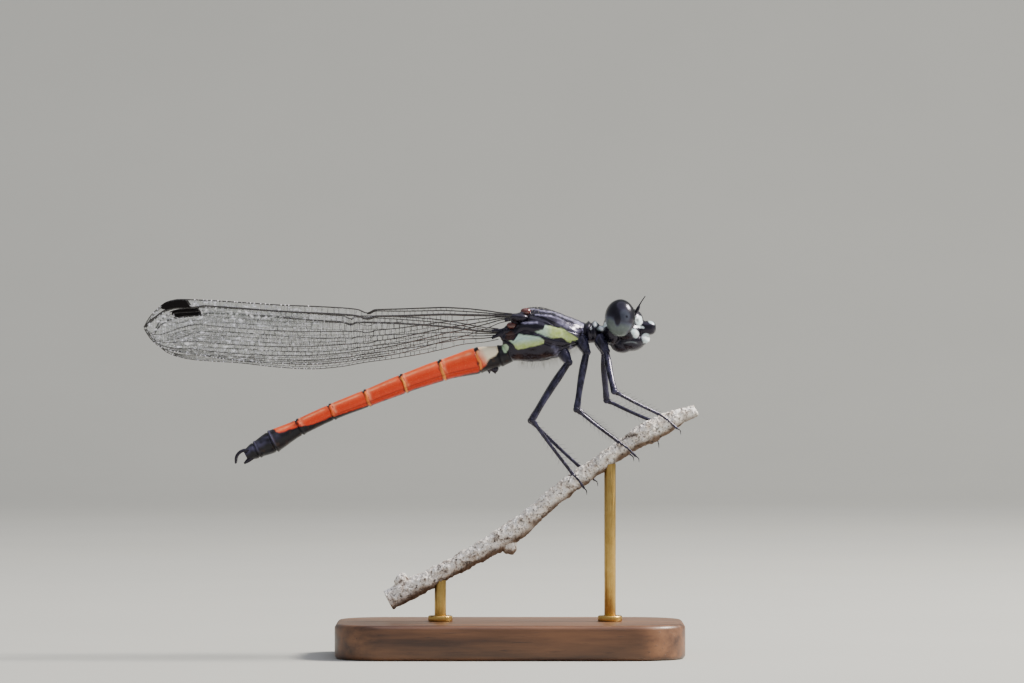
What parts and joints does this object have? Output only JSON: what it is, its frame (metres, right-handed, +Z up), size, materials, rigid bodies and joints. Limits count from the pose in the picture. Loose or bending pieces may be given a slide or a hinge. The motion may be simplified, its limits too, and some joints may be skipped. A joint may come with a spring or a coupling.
{
  "type": "damselfly model on a twig perch and display stand",
  "caption": "Life-size still damselfly with folded wings, gripping a cut twig held by short rods over a flat base.",
  "frame": {"origin": "centre of the stand's underside", "axes": "+X from the tail towards the head, +Y to the insect's left, +Z up"},
  "size_m": [0.0381, 0.013, 0.0249],
  "materials": {
    "black_cuticle": "glossy black insect cuticle with a faint violet sheen",
    "patterned_cuticle": "glossy black cuticle with pale green side patches",
    "cream_cuticle": "satin cream cuticle, black below",
    "orange_cuticle": "satin orange-red cuticle with dark joints",
    "eye_surface": "glossy faceted eye, black above and grey-green below",
    "wing_membrane": "clear veined membrane with dark veins",
    "twig_bark": "rough pale grey bark",
    "walnut_base": "satin oiled walnut",
    "brass_rod": "brushed brass"
  },
  "bodies": {
    "root": {"head": "black_cuticle", "eye_left": "eye_surface", "eye_right": "eye_surface", "antenna_left": "black_cuticle", "antenna_right": "black_cuticle", "prothorax": "black_cuticle", "thorax": "patterned_cuticle", "perch_twig": "twig_bark", "stand_base": "walnut_base", "stand_rod_front": "brass_rod", "stand_rod_rear": "brass_rod", "cercus_left": "black_cuticle", "cercus_right": "black_cuticle", "abdomen_1": "black_cuticle", "abdomen_2": "cream_cuticle", "abdomen_3": "orange_cuticle", "abdomen_4": "orange_cuticle", "abdomen_5": "orange_cuticle", "abdomen_6": "orange_cuticle", "abdomen_7": "orange_cuticle", "abdomen_8": "black_cuticle", "abdomen_9": "black_cuticle", "abdomen_10": "black_cuticle", "forewing_left": "wing_membrane", "forewing_right": "wing_membrane", "hindwing_left": "wing_membrane", "hindwing_right": "wing_membrane", "leg_fore_left_femur": "black_cuticle", "leg_fore_left_tibia": "black_cuticle", "leg_fore_left_tarsus": "black_cuticle", "leg_fore_right_femur": "black_cuticle", "leg_fore_right_tibia": "black_cuticle", "leg_fore_right_tarsus": "black_cuticle", "leg_mid_left_femur": "black_cuticle", "leg_mid_left_tibia": "black_cuticle", "leg_mid_left_tarsus": "black_cuticle", "leg_mid_right_femur": "black_cuticle", "leg_mid_right_tibia": "black_cuticle", "leg_mid_right_tarsus": "black_cuticle", "leg_hind_left_femur": "black_cuticle", "leg_hind_left_tibia": "black_cuticle", "leg_hind_left_tarsus": "black_cuticle", "leg_hind_right_femur": "black_cuticle", "leg_hind_right_tibia": "black_cuticle", "leg_hind_right_tarsus": "black_cuticle"}
  },
  "joints": []
}
